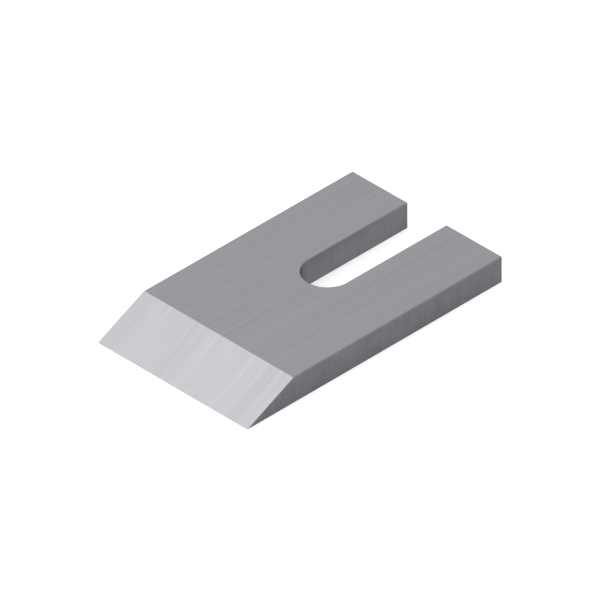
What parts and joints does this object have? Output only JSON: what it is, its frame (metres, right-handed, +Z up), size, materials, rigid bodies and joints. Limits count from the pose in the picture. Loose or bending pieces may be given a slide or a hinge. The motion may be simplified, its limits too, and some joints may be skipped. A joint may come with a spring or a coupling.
{
  "type": "shredder blade",
  "caption": "Flat rectangular steel shredder blade with a ground bevel along its front cutting edge and an open, round-ended bolt slot running in from its rear edge.",
  "frame": {"origin": "bottom centre of the plate's box, on the seat face", "axes": "+X along the cutting edge, +Y from the cutting edge to the ends of the arms, +Z up through the thickness, out of the face that the bevel falls from"},
  "size_m": [0.054, 0.092, 0.008],
  "materials": {
    "tool_steel": "ground satin faces, finely ground bright bevel, darker cut edges and slot walls"
  },
  "bodies": {
    "root": {"blade": "tool_steel"}
  },
  "joints": []
}
